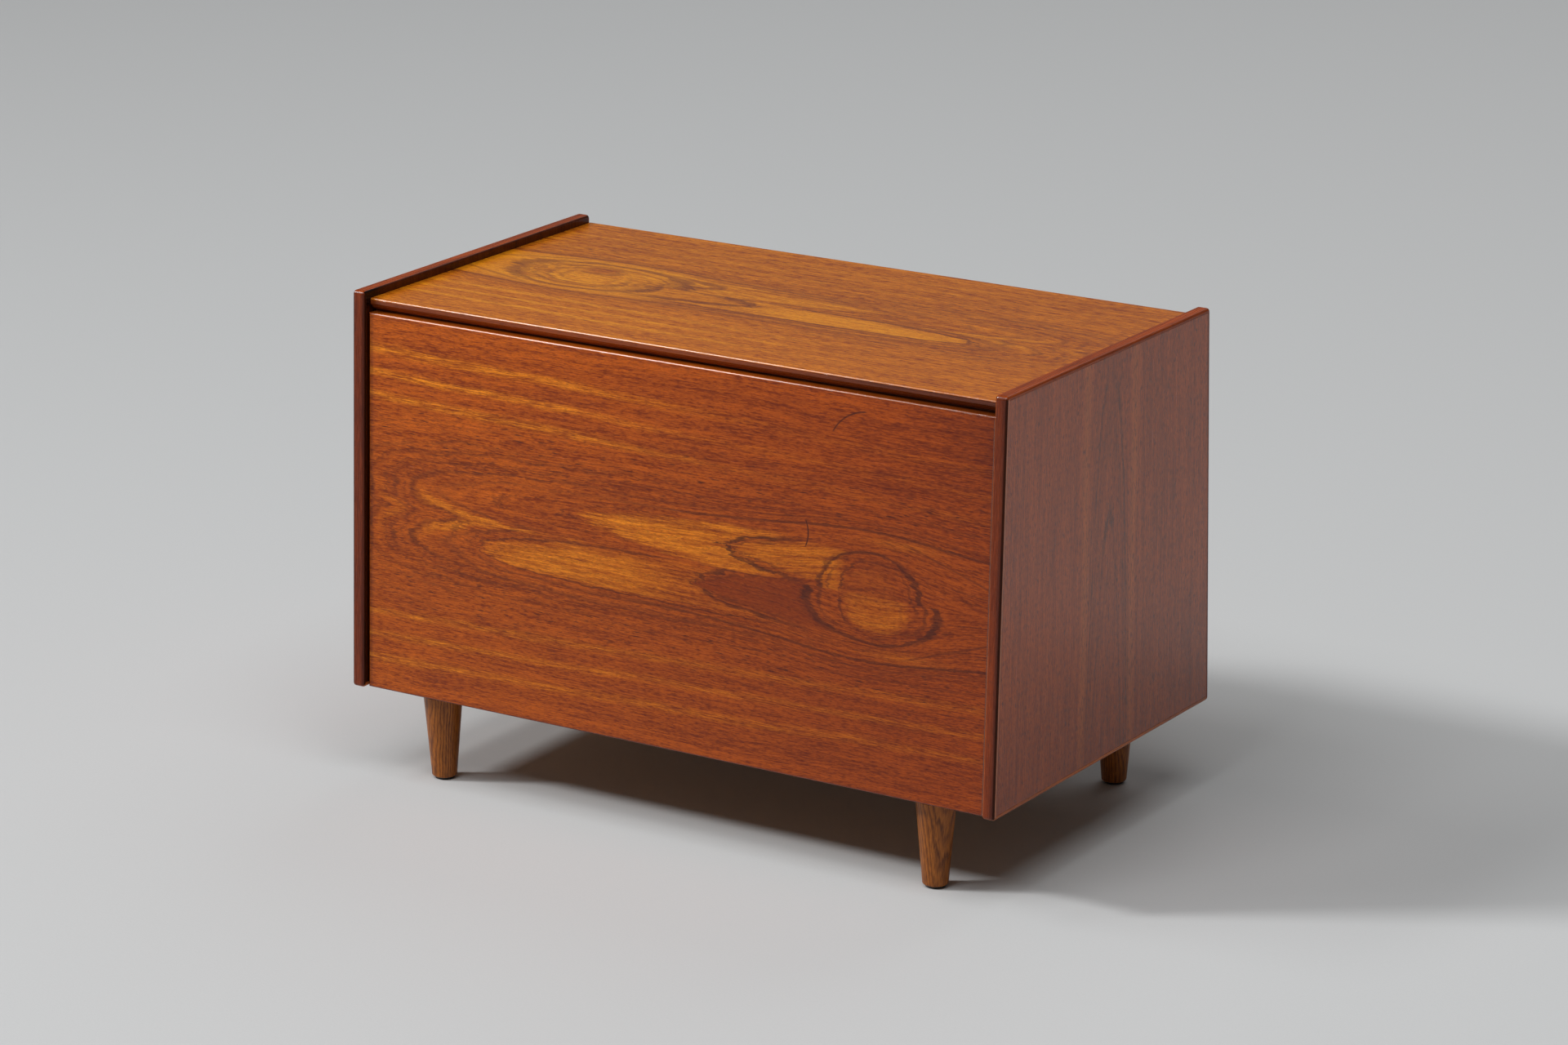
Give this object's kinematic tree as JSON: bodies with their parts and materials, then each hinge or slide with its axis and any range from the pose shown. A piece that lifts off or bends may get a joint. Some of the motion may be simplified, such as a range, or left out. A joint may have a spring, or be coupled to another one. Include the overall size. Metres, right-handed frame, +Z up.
{
  "type": "bar cabinet",
  "caption": "Low drop-front bar cabinet in teak veneer with lipped, tapering sides on turned tapered oak legs; the fall flap opens level on pivot pins and slotted brass stays.",
  "frame": {"origin": "on the floor, under the middle of the bounding box", "axes": "+X to the right seen from the front, +Y to the back, +Z up; the flap faces -Y"},
  "size_m": [0.84, 0.4776, 0.5615],
  "materials": {
    "teak_veneer": "satin oiled and lacquered veneer",
    "teak_solid": "satin solid lipping",
    "oak": "satin turned oak",
    "back_ply": "plain plywood",
    "brass": "worn satin",
    "zinc_steel": "zinc plated",
    "catch_brown": "moulded",
    "glide_black": "matt"
  },
  "bodies": {
    "carcass": {"back_panel": "back_ply", "bottom_front_lipping": "teak_solid", "bottom_panel": "teak_veneer", "catch_magnet": "catch_brown", "hinge_bush_left": "brass", "hinge_bush_right": "brass", "leg_back_left": "oak", "leg_back_right": "oak", "leg_bolt_back_left": "zinc_steel", "leg_bolt_back_right": "zinc_steel", "leg_bolt_front_left": "zinc_steel", "leg_bolt_front_right": "zinc_steel", "leg_front_left": "oak", "leg_front_right": "oak", "leg_glide_back_left": "glide_black", "leg_glide_back_right": "glide_black", "leg_glide_front_left": "glide_black", "leg_glide_front_right": "glide_black", "leg_insert_back_left": "zinc_steel", "leg_insert_back_right": "zinc_steel", "leg_insert_front_left": "zinc_steel", "leg_insert_front_right": "zinc_steel", "shelf": "teak_veneer", "shelf_peg_back_left": "brass", "shelf_peg_back_right": "brass", "shelf_peg_front_left": "brass", "shelf_peg_front_right": "brass", "side_lipping_left_back": "teak_solid", "side_lipping_left_bottom": "teak_solid", "side_lipping_left_front": "teak_solid", "side_lipping_left_top": "teak_solid", "side_lipping_right_back": "teak_solid", "side_lipping_right_bottom": "teak_solid", "side_lipping_right_front": "teak_solid", "side_lipping_right_top": "teak_solid", "side_panel_left": "teak_veneer", "side_panel_right": "teak_veneer", "stay_stud_left": "brass", "stay_stud_right": "brass", "stop_rail": "teak_solid", "top_front_strip": "teak_solid", "top_panel": "teak_veneer"},
    "flap": {"catch_plate": "zinc_steel", "flap_lipping_bottom": "teak_solid", "flap_lipping_left": "teak_solid", "flap_lipping_right": "teak_solid", "flap_lipping_top": "teak_solid", "flap_panel": "teak_veneer", "hinge_pin_left": "brass", "hinge_pin_right": "brass", "stay_bracket_left": "brass", "stay_bracket_right": "brass", "stay_rivet_left": "brass", "stay_rivet_right": "brass"},
    "stay_arm_left": {"stay_arm_left": "brass"},
    "stay_arm_right": {"stay_arm_right": "brass"}
  },
  "joints": [
    {"name": "flap_hinge", "type": "hinge", "parent": "carcass", "child": "flap", "pos_m": [0, -0.22212, 0.113], "axis": [1, 0, 0], "range_deg": [0, 92.25]},
    {"name": "stay_pivot_left", "type": "hinge", "parent": "flap", "child": "stay_arm_left", "pos_m": [-0.4022, -0.19621, 0.30123], "axis": [1, 0, 0], "range_deg": [-46.13, 0]},
    {"name": "stay_pivot_right", "type": "hinge", "parent": "flap", "child": "stay_arm_right", "pos_m": [0.4022, -0.19621, 0.30123], "axis": [1, 0, 0], "range_deg": [-46.13, 0]}
  ],
  "couplings": [
    {"joint": "stay_pivot_left", "follows": "flap_hinge", "ratio": -0.5},
    {"joint": "stay_pivot_right", "follows": "flap_hinge", "ratio": -0.5}
  ]
}
